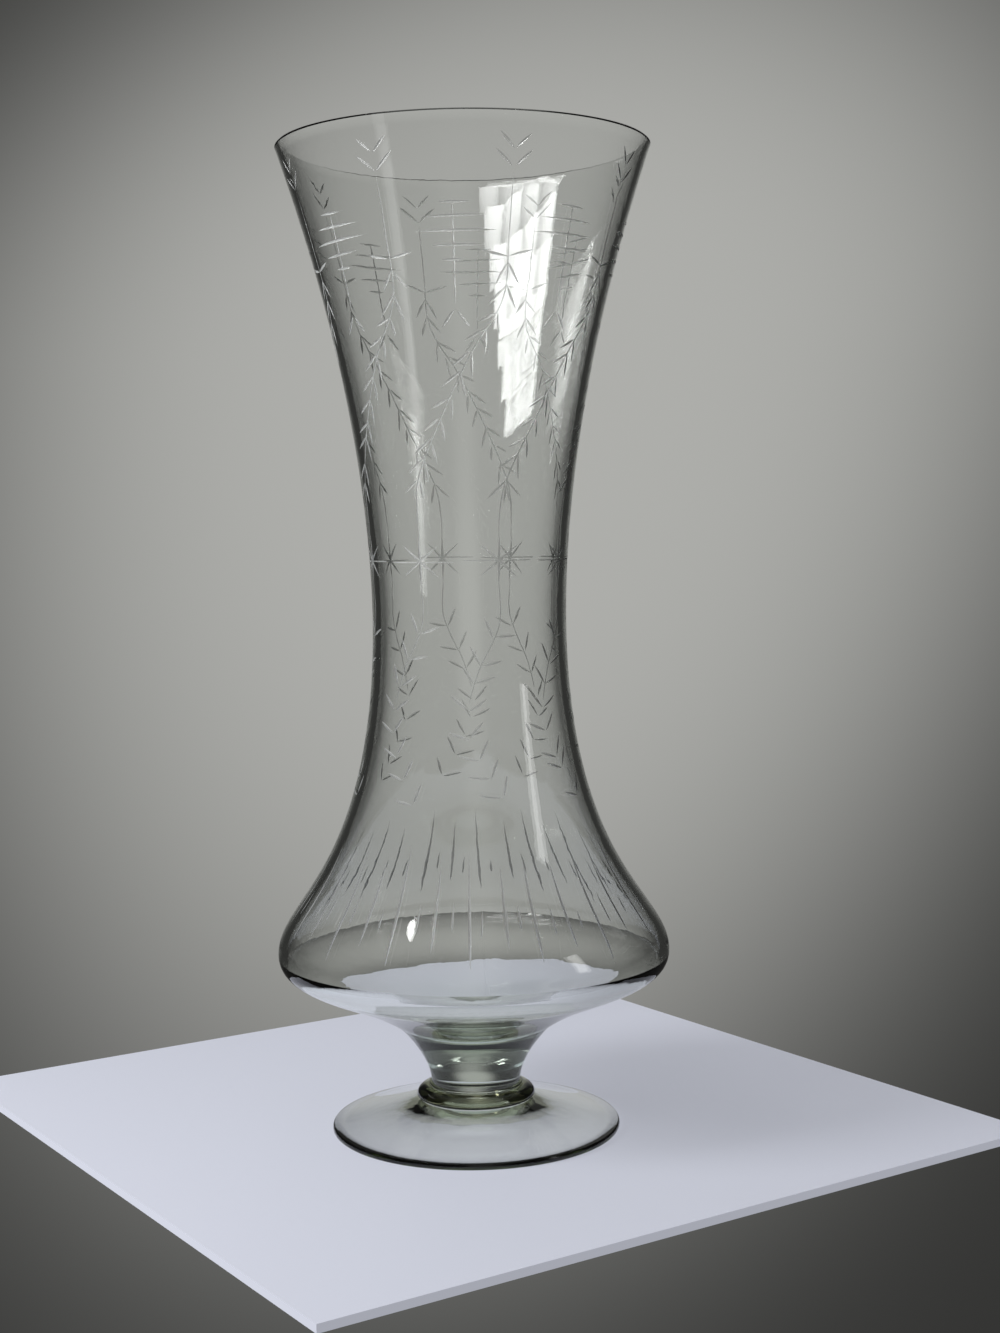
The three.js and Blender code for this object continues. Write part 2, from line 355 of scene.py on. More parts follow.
class Skin:
    """The outside of the bowl as a function of azimuth, distance along its profile, and height over it.

    The profile is turned about the axis. Height is measured along the normal of the profile, less a
    slight wave: three sines of azimuth and distance, which is never above the profile and fades to
    nothing at both ends. Azimuth 0 faces -Y and grows towards +X."""

    def __init__(self, profile, wave):
        self.profile = profile
        self.run = along(profile)
        slope = np.gradient(profile, self.run, axis=0)
        slope /= np.hypot(*slope.T)[:, None]
        self.normal = np.column_stack([slope[:, 1], -slope[:, 0]])
        self.wave = wave

    def radius(self, run):
        """Radius of the profile at a distance along it."""
        return np.interp(run, self.run, self.profile[:, 0])

    def run_at(self, height):
        """Distance along the profile at a height over the ground."""
        return np.interp(height, self.profile[:, 1], self.run)

    def unevenness(self, azimuth, run):
        """How far the wave lies below the profile."""
        waves = ((3, 9, 0.0), (5, -21, 1.3), (2, 34, 2.1))
        steepness = 12
        share = run / self.run[-1]
        swell = sum(np.sin(lobes * azimuth + twist * share + start) for lobes, twist, start in waves)
        fade = np.clip(share * steepness, 0, 1) * np.clip((1 - share) * steepness, 0, 1)
        return self.wave * fade * (len(waves) + swell) / len(waves)

    def place(self, azimuth, run, over):
        """Points in the frame, as an array with a last axis of three."""
        over = over - self.unevenness(azimuth, run)
        outward, upward = (np.interp(run, self.run, self.normal[:, axis]) for axis in (0, 1))
        radius = self.radius(run) + over * outward
        height = np.interp(run, self.run, self.profile[:, 1]) + over * upward
        return np.stack([radius * np.sin(azimuth), -radius * np.cos(azimuth), height], axis=-1)

    def facing(self, azimuth, run):
        """Unit normals: the cross product of small steps round the axis and along the profile."""
        turn = 1e-3
        step = 1e-4
        round_axis = self.place(azimuth + turn, run, 0.0) - self.place(azimuth - turn, run, 0.0)
        up_profile = self.place(azimuth, run + step, 0.0) - self.place(azimuth, run - step, 0.0)
        normal = np.cross(round_axis, up_profile)
        return normal / np.linalg.norm(normal, axis=-1, keepdims=True)


def turned_mesh(name, rings, closed=False):
    """A mesh from rings of points, an array of rings by points by three, each joined to the next.

    A ring of radius nothing becomes one point with a fan of triangles, so poles are closed. A closed
    mesh joins the last ring to the first, round a hole along the axis."""
    count, around = rings.shape[:2]
    at_axis = np.hypot(rings[:, :, 0], rings[:, :, 1]).max(axis=1) < 1e-7
    sizes = np.where(at_axis, 1, around)
    starts = np.concatenate([[0], np.cumsum(sizes)[:-1]])
    points = np.concatenate([ring[:1] if pole else ring for ring, pole in zip(rings, at_axis)])
    here = np.arange(around)
    after = (here + 1) % around
    faces = []
    for low in range(count if closed else count - 1):
        high = (low + 1) % count
        if at_axis[low]:
            fan = np.column_stack([np.full(around, starts[low]), starts[high] + after, starts[high] + here])
            faces += fan.tolist()
        elif at_axis[high]:
            fan = np.column_stack([starts[low] + here, starts[low] + after, np.full(around, starts[high])])
            faces += fan.tolist()
        else:
            band = np.column_stack(
                [starts[low] + here, starts[low] + after, starts[high] + after, starts[high] + here]
            )
            faces += band.tolist()
    mesh = bpy.data.meshes.new(name)
    mesh.from_pydata(points.tolist(), [], faces)
    mesh.update()
    return mesh


def spin(profile, around):
    """Rings of points from a profile of radius and height, turned about the axis."""
    azimuth = np.linspace(0, 2 * math.pi, around, endpoint=False)
    radius = profile[:, 0][:, None]
    height = np.broadcast_to(profile[:, 1][:, None], (len(profile), around))
    return np.stack([radius * np.sin(azimuth), -radius * np.cos(azimuth), height], axis=-1)


def put(name, mesh, material, node):
    """Shows a finished mesh as the piece that stands for a node of the frame."""
    mesh.materials.clear()
    mesh.materials.append(material)
    piece = bpy.data.objects.new(name, mesh)
    bpy.context.scene.collection.objects.link(piece)
    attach(piece, BODY)
    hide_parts(node)
    return piece


def face_attribute(mesh, name, values):
    """Stores one number for each face."""
    stored = mesh.attributes.new(name, "FLOAT", "FACE")
    stored.data.foreach_set("value", np.asarray(values, np.float32))


def read_vectors(items, name):
    """One vector of each point, corner or face of a mesh, as rows of an array."""
    values = np.empty(len(items) * 3)
    items.foreach_get(name, values)
    return values.reshape(-1, 3)


def read_counts(items, name):
    """One whole number of each corner or face of a mesh."""
    values = np.empty(len(items), np.int32)
    items.foreach_get(name, values)
    return values


def azimuth_of(points):
    """Azimuth of each point: nothing towards -Y, and growing towards +X."""
    return np.arctan2(points[:, 0], -points[:, 1])


def mark_welds(mesh, *welds):
    """Marks where one gather is fused to the next: the faces whose centres lie between two points of
    radius and height."""
    centres = read_vectors(mesh.polygons, "center")
    place = np.column_stack([np.hypot(centres[:, 0], centres[:, 1]), centres[:, 2]])
    fused = np.zeros(len(centres), bool)
    for low, high in welds:
        above = place > np.array(low) - WELD_MARGIN
        below = place < np.array(high) + WELD_MARGIN
        fused |= np.all(above & below, axis=1)
    face_attribute(mesh, "weld", fused)


def mark_painted_shade(mesh, low, high):
    """Marks the faces between two heights, in a crevice, for painted shade: a near-black finish that stands
    in for the shade there. Faces that look straight down rest on the next piece and stay clear."""
    straight_down = -0.999
    height = read_vectors(mesh.polygons, "center")[:, 2]
    between = (height > low) & (height < high)
    resting = read_vectors(mesh.polygons, "normal")[:, 2] < straight_down
    face_attribute(mesh, "painted_shade", between & ~resting)


def sharpen(mesh, degrees):
    """Smooth shading, broken at edges that turn by more than so many degrees."""
    mesh.polygons.foreach_set("use_smooth", np.ones(len(mesh.polygons), bool))
    mesh.set_sharp_from_angle(angle=math.radians(degrees))


# Wheel cuts


def grooves(skin, azimuth, run, depth, spread, lid):
    """Closed V-shaped cutters that follow paths on the skin, as one mesh of separate bodies.

    Azimuth, run and depth are arrays of cutters by stations. At each station the section is a triangle:
    a point at the depth, and two points on a lid over the skin, whose half width is the spread times
    depth plus lid, square to the path. The first and last stations are single points on the lid."""
    radius = skin.radius(run)
    side = np.gradient(azimuth, axis=1) * radius
    rise = np.gradient(run, axis=1)
    reach = np.hypot(side, rise)
    half = spread * (depth + lid)
    turn = -rise / reach * half / radius
    climb = side / reach * half
    bottom = skin.place(azimuth, run, -depth)
    left = skin.place(azimuth + turn, run + climb, lid)
    right = skin.place(azimuth - turn, run - climb, lid)
    tips = skin.place(azimuth[:, [0, -1]], run[:, [0, -1]], lid)
    count, stations = azimuth.shape
    inner = np.stack([bottom, left, right], axis=2)[:, 1:-1].reshape(count, -1, 3)
    points = np.concatenate([tips, inner], axis=1)
    first = 2 + 3 * np.arange(stations - 3)
    faces = []
    for a, b in ((0, 1), (1, 2), (2, 0)):
        faces.append(np.column_stack([first + a, first + b, first + 3 + b]))
        faces.append(np.column_stack([first + a, first + 3 + b, first + 3 + a]))
    start = [(0, 3, 2), (0, 4, 3), (0, 2, 4)]
    last = 2 + 3 * (stations - 3)
    end = [(1, last, last + 1), (1, last + 1, last + 2), (1, last + 2, last)]
    pattern = np.concatenate([*faces, np.array(start + end)])
    size = points.shape[1]
    all_faces = (pattern[None] + (np.arange(count) * size)[:, None, None]).reshape(-1, 3)
    return points.reshape(-1, 3), all_faces


def lid_over(depth):
    """How high over the skin a cutter of that depth starts."""
    return 0.3 * depth + 0.08 * MM


class Wheel:
    """Gathers the strokes of one pass and turns them into cutters."""

    def __init__(self, skin, spread):
        self.skin = skin
        self.spread = spread
        self.points = []
        self.faces = []
        self.count = 0

    def stroke_path(self, azimuth, run, depth, power, deepest=0.5):
        """Cuts along paths, full depth at one share of the way and running out at both ends.

        Depth falls from there by the distance to the power: 2 for a wheel's own round plunge, more
        for a line that keeps its depth."""
        lid = lid_over(depth)
        share = np.linspace(0, 1, azimuth.shape[1])
        off = (share - deepest) / np.where(share < deepest, deepest, 1 - deepest)
        depths = depth - (depth + lid) * np.abs(off) ** power
        points, faces = grooves(
            self.skin, azimuth, run, np.broadcast_to(depths, azimuth.shape), self.spread, lid
        )
        self.points.append(points)
        self.faces.append(faces + self.count)
        self.count += len(points)

    def strokes(self, azimuth, run, heading, size, depth, stations=9):
        """Straight strokes: centre, heading clockwise from up, length and depth."""
        azimuth, run, heading, size = np.broadcast_arrays(*np.atleast_1d(azimuth, run, heading, size))
        lid = lid_over(depth)
        reach = size / 2 * math.sqrt(1 + lid / depth)
        share = np.linspace(-1, 1, stations)
        runs = run[:, None] + (reach * np.cos(heading))[:, None] * share
        turns = (reach * np.sin(heading) / self.skin.radius(run))[:, None] * share
        self.stroke_path(azimuth[:, None] + turns, runs, depth, 2)

    def line(self, azimuth, run, depth):
        """A long line through a path, which keeps its depth."""
        evenness = 12
        self.stroke_path(azimuth[None], run[None], depth, evenness)

    def cutter(self, name):
        """The pass as one object."""
        mesh = bpy.data.meshes.new(name)
        mesh.from_pydata(np.concatenate(self.points).tolist(), [], np.concatenate(self.faces).tolist())
        mesh.update()
        cutter = bpy.data.objects.new(name, mesh)
        bpy.context.scene.collection.objects.link(cutter)
        return cutter


def curve_through(azimuths, runs, count):
    """A smooth path through a few points, at even distances. Between two of them each coordinate is a
    cubic of the point number, whose slope at a point is half the step between that point's neighbours."""
    points = np.stack([azimuths, runs], axis=-1)
    before = np.concatenate([2 * points[:1] - points[1:2], points, 2 * points[-1:] - points[-2:-1]])
    place = np.linspace(0, len(points) - 1, count)
    piece = np.minimum(place.astype(int), len(points) - 2)
    share = (place - piece)[:, None]
    a, b, c, d = (before[piece + i] for i in range(4))
    path = 0.5 * (
        2 * b + (c - a) * share + (2 * a - 5 * b + 4 * c - d) * share**2 + (3 * b - a - 3 * c + d) * share**3
    )
    usual_radius = 60 * MM
    run = along(path * np.array([usual_radius, 1]))
    even = np.linspace(0, run[-1], count)
    return np.interp(even, run, path[:, 0]), np.interp(even, run, path[:, 1])


def fern(path_azimuth, path_run, radius, places, lean, size):
    """Where the leaves of a fern start and head: pairs at distances along the path.

    Gives, for the left and the right side, azimuth, run and heading of each stroke's centre."""
    side = np.gradient(path_azimuth) * radius
    rise = np.gradient(path_run)
    steps = np.hypot(np.diff(path_azimuth) * radius[1:], np.diff(path_run))
    distance = np.concatenate([[0], np.cumsum(steps)])
    heading = np.unwrap(np.arctan2(side, rise))
    azimuth = np.interp(places, distance, path_azimuth)
    run = np.interp(places, distance, path_run)
    at = np.interp(places, distance, radius)
    ahead = np.interp(places, distance, heading)
    sides = []
    for sign in (-1, 1):
        head = ahead + sign * lean
        sides.append((azimuth + size / 2 * np.sin(head) / at, run + size / 2 * np.cos(head), head))
    return sides


def carve(piece, wheels):
    """Takes each pass of cutters out of the piece, one after another."""
    for order, wheel in enumerate(wheels):
        cutter = wheel.cutter(f"wheel_{order}")
        modifier = piece.modifiers.new("cut", "BOOLEAN")
        modifier.operation = "DIFFERENCE"
        modifier.solver = "MANIFOLD"
        modifier.object = cutter
        graph = bpy.context.evaluated_depsgraph_get()
        mesh = bpy.data.meshes.new_from_object(piece.evaluated_get(graph))
        old = piece.data
        piece.modifiers.clear()
        piece.data = mesh
        cutter_mesh = cutter.data
        bpy.data.objects.remove(cutter)
        bpy.data.meshes.remove(cutter_mesh)
        bpy.data.meshes.remove(old)


class Engraver:
    """Cuts the pattern, motif by motif, in five passes of the wheel. The strokes of one pass don't cross
    each other. Heights and lengths are in millimetres, and leans in degrees from the vein or from up."""

    def __init__(self, skin, cuts):
        self.skin = skin
        self.cuts = cuts
        self.draw = np.random.default_rng(8)
        self.step = 2 * math.pi / cuts.repeats
        self.lines = Wheel(skin, cuts.spread)
        self.levels = Wheel(skin, cuts.spread)
        self.leaning_left = Wheel(skin, cuts.spread)
        self.leaning_right = Wheel(skin, cuts.spread)
        self.upright = Wheel(skin, cuts.spread)

    def wander(self, amount, shape=()):
        """How far the hand strays: draws from a normal spread of that amount."""
        return self.draw.normal(0, amount * self.cuts.unevenness, shape)

    def vein(self, azimuths, heights, count):
        """A smooth path through a few azimuths and heights."""
        return curve_through(azimuths, self.skin.run_at(np.array(heights) * MM), count)

    def leaves(self, path, places, lean, sizes, wheels, stray):
        """Pairs of leaves at distances along a vein. Each wheel cuts one side."""
        pairs = fern(*path, self.skin.radius(path[1]), places, math.radians(lean), self.cuts.leaf_length)
        for wheel, (azimuth, run, heading) in zip(wheels, pairs):
            heading = heading + self.wander(stray, places.shape)
            wheel.strokes(azimuth, run, heading, sizes, self.cuts.leaf_depth)

    def upper_fern(self, star):
        """A straight vein, which bends down to the left and ends on the next star, with leaves that open
        downwards, and three pairs of strokes near its top that open upwards."""
        top = star + self.wander(0.012)
        heights = (480, 447, 417, 392, 362, 333, 316, 295)
        turns = np.array([0, 0, -0.02, -0.3, -0.62, -0.93, -1, -1]) * self.step
        path = self.vein(turns + np.array([top] * 6 + [star] * 2), heights, 60)
        self.lines.line(*path, self.cuts.line_depth)
        places = np.concatenate([[50, 60, 72], np.arange(84, 172, 11)]) * MM
        places = places + self.wander(1.0 * MM, places.shape)
        sizes = self.cuts.leaf_length * (1 + self.wander(0.12, places.shape))
        self.leaves(path, places, 31, sizes, (self.leaning_right, self.leaning_left), 0.07)
        for height, lean, size in ((483, 43, 11), (475, 46, 13), (436, 74, 13)):
            self.opening_pair(top, height, lean, size)

    def opening_pair(self, middle, height, lean, size):
        """Two strokes that start together and open upwards."""
        start = self.skin.run_at(height * MM)
        reach = size / 2 * MM
        for sign, wheel in ((-1, self.leaning_left), (1, self.leaning_right)):
            head = sign * math.radians(lean) + self.wander(0.06)
            azimuth = middle + reach * math.sin(head) / float(self.skin.radius(start))
            run = start + reach * math.cos(head)
            wheel.strokes(azimuth, run, head, size * MM * (1 + self.wander(0.08)), self.cuts.leaf_depth)

    def crossbar(self, between):
        """A line crossed by level strokes, longest in the middle, over a pair that opens downwards."""
        top, foot, pair, pair_joint = 463, 413, 408, 409
        level_depth = 0.22 * MM
        run_at = self.skin.run_at
        middle = between + self.wander(0.012)
        pole = np.linspace(run_at(top * MM), run_at(foot * MM), 24)
        self.lines.line(np.full(24, middle), pole, self.cuts.line_depth)
        for height, size in ((460, 16), (454, 31), (447.5, 38), (441, 25), (434.5, 11)):
            azimuth = middle + self.wander(0.015)
            head = math.pi / 2 + self.wander(0.03)
            self.levels.strokes(azimuth, run_at(height * MM), head, size * MM, level_depth, 13)
        aside = 3.6 * MM / float(self.skin.radius(run_at(pair_joint * MM)))
        for sign, wheel in ((-1, self.leaning_right), (1, self.leaning_left)):
            head = math.pi - sign * math.radians(36)
            wheel.strokes(middle + sign * aside, run_at(pair * MM), head, 11 * MM, self.cuts.leaf_depth)

    def star(self, middle):
        """A stretch of the ring line, an upright stroke and two leaning ones."""
        depth = self.cuts.leaf_depth
        run = float(self.skin.run_at(self.cuts.star_height))
        ring = middle + np.linspace(-0.48, 0.48, 25) * self.step
        self.levels.line(ring, np.full(25, run + self.wander(0.3 * MM)), self.cuts.line_depth)
        self.upright.strokes(middle, run, self.wander(0.03), 26 * MM, depth, 13)
        for lean, wheel in ((48, self.leaning_right), (-48, self.leaning_left)):
            wheel.strokes(middle, run, math.radians(lean) + self.wander(0.05), 25 * MM, depth, 13)

    def lower_fern(self, star):
        """A vein that bows to the left under the star, with leaves that open upwards. Only the upper part
        of the vein is cut."""
        heights = (285, 262, 238, 213, 190, 170)
        path = self.vein(star + np.radians([0, 0, -13, -19, -9, 3]), heights, 40)
        shown = slice(0, 22)
        self.lines.line(path[0][shown], path[1][shown], 0.8 * self.cuts.line_depth)
        places = np.arange(30, 122, 12.5) * MM
        places = places + self.wander(1.5 * MM, places.shape)
        size = 0.95 * self.cuts.leaf_length
        self.leaves(path, places, 130, size, (self.leaning_left, self.leaning_right), 0.09)

    def flutes(self):
        """Needle flutes round the bulb, in groups of four: long, short, middling, short. Each kind has a
        top, a foot and a share of the depth."""
        long, middling, short = (168, 100, 1.0), (158, 107, 0.95), (133, 117, 0.7)
        group = (long, short, middling, short)
        deepest = 0.7
        count = self.cuts.flutes
        share = np.linspace(0, 1, 17)
        for kind, (top, foot, deep) in enumerate(group):
            numbers = np.arange(kind, count, len(group))
            azimuth = self.cuts.first_flute + numbers * 2 * math.pi / count
            azimuth = azimuth + self.wander(0.016, numbers.shape)
            tops = self.skin.run_at(top * MM + self.wander(2.5 * MM, numbers.shape))
            ends = self.skin.run_at(foot * MM + self.wander(1.5 * MM, numbers.shape))
            runs = tops[:, None] + (ends - tops)[:, None] * share
            slant = self.wander(0.01, (len(numbers), 1)) * (share - 0.5)
            self.upright.stroke_path(azimuth[:, None] + slant, runs, deep * self.cuts.flute_depth, 2, deepest)

    def passes(self):
        """Goes round the vase with every motif and gives the passes."""
        for star in self.cuts.first_star + self.step * np.arange(self.cuts.repeats):
            self.upper_fern(star)
            self.crossbar(star - self.step / 2)
            self.star(star)
            self.lower_fern(star)
        self.flutes()
        return self.lines, self.levels, self.leaning_left, self.leaning_right, self.upright


# Pieces


def underside_heading(sizes):
    """Which way the bowl's underside leaves the stem, as a step of radius and height."""
    return np.array([math.cos(sizes.underside_slope), math.sin(sizes.underside_slope)])


def bowl_outside(sizes):
    """The outside of the bowl from seat to rim: a Bezier underside, a Bezier shoulder, and a trumpet
    whose radius grows with the height over the waist to the flare power."""
    seat = seat_of("bowl")
    rim = top_of("bowl")
    bulb = reach_of("bowl")
    stem = reach_of("stem")
    bulb_height = seat + sizes.bulb_rise
    waist_height = seat + sizes.waist_rise
    underside = bezier(
        (stem, seat),
        np.array([stem, seat]) + sizes.underside_ease * underside_heading(sizes),
        (bulb, bulb_height - sizes.bulb_under_ease),
        (bulb, bulb_height),
        160,
    )
    shoulder = bezier(
        (bulb, bulb_height),
        (bulb, bulb_height + sizes.bulb_top_ease),
        (sizes.waist_radius, waist_height - sizes.waist_ease),
        (sizes.waist_radius, waist_height),
        300,
    )
    share = np.linspace(0, 1, 300)
    radius = sizes.waist_radius + (sizes.rim_radius - sizes.waist_radius) * share**sizes.flare_power
    height = waist_height + (rim - sizes.rim_bevel - waist_height) * share
    return np.concatenate([underside, shoulder[1:], np.column_stack([radius, height])[1:]])


def bowl_inside(skin, sizes):
    """The inside of the bowl: the outside moved square to itself by the wall, from the rim down to
    the widest place, and a Bezier floor, under which the glass is thickest at the stem's edge."""
    seat = seat_of("bowl")
    rim = top_of("bowl")
    height = skin.profile[:, 1]
    wall = np.interp(height, [seat + sizes.waist_rise, rim], [sizes.wall_at_body, sizes.wall_at_rim])
    inside = skin.profile - skin.normal * wall[:, None]
    keep = (height >= seat + sizes.bulb_rise) & (inside[:, 1] <= rim - sizes.rim_bevel)
    inside = inside[keep][::-1]
    edge = inside[-1]
    side = edge - np.array([0, sizes.floor_side])
    floor = seat + sizes.floor_thickness
    dish = bezier(edge, side, (sizes.floor_level, floor - sizes.floor_push), (0, floor), 60)
    return np.concatenate([inside, dish[1:]])


class VASE_OT_bowl(bpy.types.Operator):
    """Blow the bowl, from its seat on the stem to the ground rim, and cut its engraving"""

    bl_idname = "vase.bowl"
    bl_label = "Bowl"

    def execute(self, context):
        sizes = context.scene.vase_sizes
        cuts = context.scene.vase_cuts
        around, rings = 144, 170
        inner_spacing = 4 * MM
        seat = seat_of("bowl") + WELD_GAP
        rim = top_of("bowl")
        skin = Skin(bowl_outside(sizes), sizes.wave)
        inside = bowl_inside(skin, sizes)
        runs = np.linspace(0, skin.run[-1], rings)
        azimuth = np.linspace(0, 2 * math.pi, around, endpoint=False)
        outer = skin.place(azimuth[None], runs[:, None], 0.0)
        outer[0, :, 2] = seat
        middle = spin(np.array([(0, seat)]), around)
        outer_lip = (sizes.rim_radius - sizes.rim_bevel, rim)
        inner_lip = (inside[0, 0] + sizes.rim_bevel, rim)
        lip = spin(np.array([outer_lip, inner_lip]), around)
        inner = spin(spaced(inside, inner_spacing), around)
        mesh = turned_mesh("bowl_glass", np.concatenate([middle, outer, lip, inner]))
        piece = put("engraved_bowl", mesh, context.scene.vase_glass_bowl, "bowl")
        carve(piece, Engraver(skin, cuts).passes())
        finish_cuts(piece.data, skin)
        mark_welds(piece.data, ((0, seat), (reach_of("stem"), seat)))
        return {"FINISHED"}


def finish_cuts(mesh, skin):
    """Marks the cut faces, and gives every other face of the outside the normals of the skin.

    A face is cut where it lies on the outside but turns from the skin by more than a wheel mark does."""
    near = 1.2 * MM
    least_facing = 0.3
    cut_turn = math.radians(8)
    rim_margin = 0.01 * MM
    centres = read_vectors(mesh.polygons, "center")
    normals = read_vectors(mesh.polygons, "normal")
    azimuth = azimuth_of(centres)
    run = skin.run_at(centres[:, 2])
    away = np.linalg.norm(centres - skin.place(azimuth, run, 0.0), axis=1)
    turned = np.einsum("ij,ij->i", normals, skin.facing(azimuth, run))
    outside = (away < near) & (turned > least_facing)
    rim = centres[:, 2] > skin.profile[-1, 1] - rim_margin
    cut = outside & (turned < math.cos(cut_turn)) & ~rim
    face_attribute(mesh, "cut", cut)
    sharpen(mesh, 18)
    smooth_as_skin(mesh, skin, outside & ~cut & ~rim)


def smooth_as_skin(mesh, skin, faces):
    """Gives the corners of the chosen faces the normals of the skin. The other corners keep theirs."""
    normals = read_vectors(mesh.corner_normals, "vector")
    vertex = read_counts(mesh.loops, "vertex_index")
    chosen = np.repeat(faces, read_counts(mesh.polygons, "loop_total"))
    points = read_vectors(mesh.vertices, "co")[vertex[chosen]]
    normals[chosen] = skin.facing(azimuth_of(points), skin.run_at(points[:, 2]))
    mesh.normals_split_custom_set(normals.tolist())


class VASE_OT_stem(bpy.types.Operator):
    """Draw the solid stem, which reaches down into the collar"""

    bl_idname = "vase.stem"
    bl_label = "Stem"

    def execute(self, context):
        sizes = context.scene.vase_sizes
        low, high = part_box("stem")
        pocket = sizes.pocket_radius
        base = low.z - sizes.tenon
        foot = (sizes.stem_foot_radius, low.z)
        slim = (foot[0], low.z + sizes.stem_foot_ease)
        top = np.array([reach_of("stem"), high.z])
        flare = bezier(foot, slim, top - sizes.stem_top_ease * underside_heading(sizes), top, 48)
        profile = np.concatenate([[(0, base), (pocket, base), (pocket, low.z)], flare, [(0, high.z)]])
        mesh = turned_mesh("stem_glass", spin(profile, 160))
        sharpen(mesh, 40)
        put("stem", mesh, context.scene.vase_glass_stem, "stem")
        under_bowl = ((0, high.z), tuple(top))
        on_collar = ((pocket, low.z), foot)
        in_collar = ((pocket, base + WELD_GAP), (pocket, low.z))
        mark_welds(mesh, under_bowl, on_collar, in_collar)
        return {"FINISHED"}


def arc(radius, height, reach, rise, start, end, count):
    """Part of an ellipse about a radius and a height, bulging outwards, between two angles from
    level, given in quarter turns."""
    turn = np.linspace(start, end, count) * math.pi / 2
    return np.column_stack([radius + reach * np.cos(turn), height + rise * np.sin(turn)])


class VASE_OT_collar(bpy.types.Operator):
    """Wind the ring of olive green glass round the joint of stem and foot"""

    bl_idname = "vase.collar"
    bl_label = "Collar"

    def execute(self, context):
        sizes = context.scene.vase_sizes
        low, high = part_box("collar")
        seat = sizes.foot_seat_radius
        top = sizes.collar_top_radius
        rise = sizes.collar_widest_rise
        bead = sizes.collar_bead_height / 2
        widest = low.z + rise
        inner = sizes.pocket_radius + WELD_GAP
        base = low.z + WELD_GAP
        under = arc(seat, widest, reach_of("collar") - seat, rise - WELD_GAP, -1, 0, 12)
        ring = arc(top, widest, reach_of("collar") - top, high.z - 2 * bead - widest, 0, 1, 24)
        thread = arc(top, high.z - bead, bead, bead, -1, 1, 12)
        face = high.z - WELD_GAP
        seating = [(sizes.stem_foot_radius, face), (inner, face), (inner, high.z - sizes.tenon)]
        profile = np.concatenate([[(inner, base)], under, ring[1:], thread[1:], seating])
        mesh = turned_mesh("collar_glass", spin(profile, 160), closed=True)
        sharpen(mesh, 40)
        put("collar", mesh, context.scene.vase_glass_collar, "collar")
        mark_welds(mesh, ((inner, high.z - sizes.tenon), seating[0]))
        # Painted shade on the collar's underside, from its seat up to its widest place, where it meets the
        # foot.
        mark_painted_shade(mesh, base, widest)
        return {"FINISHED"}


class VASE_OT_foot(bpy.types.Operator):
    """Press the disc foot, with its ground contact ring and pontil mark"""

    bl_idname = "vase.foot"
    bl_label = "Foot"

    def execute(self, context):
        sizes = context.scene.vase_sizes
        low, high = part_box("foot")
        reach = reach_of("foot")
        ring_outer = reach - sizes.contact_bevel
        ring_inner = ring_outer - sizes.contact_ring_width
        share = np.linspace(0, 1, 24)
        pontil = np.column_stack(
            [sizes.pontil_radius * share, sizes.underside_hollow + sizes.pontil_depth * (1 - share**2)]
        )
        hollow = np.column_stack(
            [
                sizes.pontil_radius + (ring_inner - sizes.pontil_radius) * share,
                sizes.underside_hollow * (1 - share**sizes.underside_power),
            ]
        )
        middle = sizes.foot_edge_height / 2
        edge = arc(ring_outer, middle, sizes.contact_bevel, middle, -1, 1, 16)
        slope = np.column_stack(
            [
                ring_outer + (sizes.foot_seat_radius - ring_outer) * share,
                sizes.foot_edge_height + (high.z - sizes.foot_edge_height) * share**sizes.foot_slope_power,
            ]
        )
        pocket = sizes.pocket_radius
        profile = np.concatenate([pontil, hollow[1:], edge, slope[1:], [(pocket, high.z), (0, high.z)]])
        mesh = turned_mesh("foot_glass", spin(profile, 192))
        sharpen(mesh, 30)
        put("foot", mesh, context.scene.vase_glass_foot, "foot")
        return {"FINISHED"}


# Stage


class StageSizes(bpy.types.PropertyGroup):
    """Camera, floor and surroundings. Directions are parts of a unit vector."""

    camera_distance: length("Camera distance", 0.99017, "From the axis of the vase")
    camera_height: length("Camera height", 0.30941, "Over the floor")
    pitch: angle("Pitch", 4.096, "Camera down")
    yaw: angle("Yaw", 0.885, "Camera to the right")
    roll: angle("Roll", 0.753, "Camera clockwise")
    lens: number("Lens", 52.366, "Focal length on the long side, in millimetres")
    floor_side: length("Floor side", 0.413, "Side of the square floor")
    floor_thickness: length("Floor thickness", 4 * MM, "Thickness of the floor")
    floor_turn: angle("Floor turn", 33, "Turn of the floor")
    floor_right: length("Floor right", -3 * MM, "How far the floor's middle lies to the right of the axis")
    floor_back: length("Floor back", 34 * MM, "How far the floor's middle lies behind the axis")
    floor_glow: number("Floor glow", 0.55, "Share of the floor's light that no shadow takes")
    # Painted light on the floor: a larger share of its own light under the foot, and a pool of it under the
    # stem.
    painted_glow_under_foot: number("Foot glow", 0.85, "The same share under the foot")
    painted_light_under_stem: number("Gathered light", 0.2, "Light gathered under the stem")
    painted_light_reach: length("Gathered reach", 14 * MM, "How far that light reaches from the axis")
    glow_side: number("Glow side", 0.022, "Side place of the brightest surroundings")
    glow_rise: number("Glow rise", 0.084, "Height of the brightest surroundings")
    glow_width: number("Glow width", 0.283, "Half width of the bright surroundings")
    glow_height: number("Glow height", 0.22, "Reach of the brightness upwards")
    glow_depth: number("Glow depth", 0.4, "Reach of the brightness downwards")
    glow_top: number("Glow top", 0.26, "Height over which the light stays as it is")
    glow_slant: number("Glow slant", 0.38, "How far the bright surroundings lean")
    dusk: number("Dusk", 0.08, "Share of the light that is left at the sides")
    ceiling: number("Ceiling", 0.15, "How much brighter the light is from overhead")
    ground: number("Ground", 0.3, "How much brighter the light is from straight below")


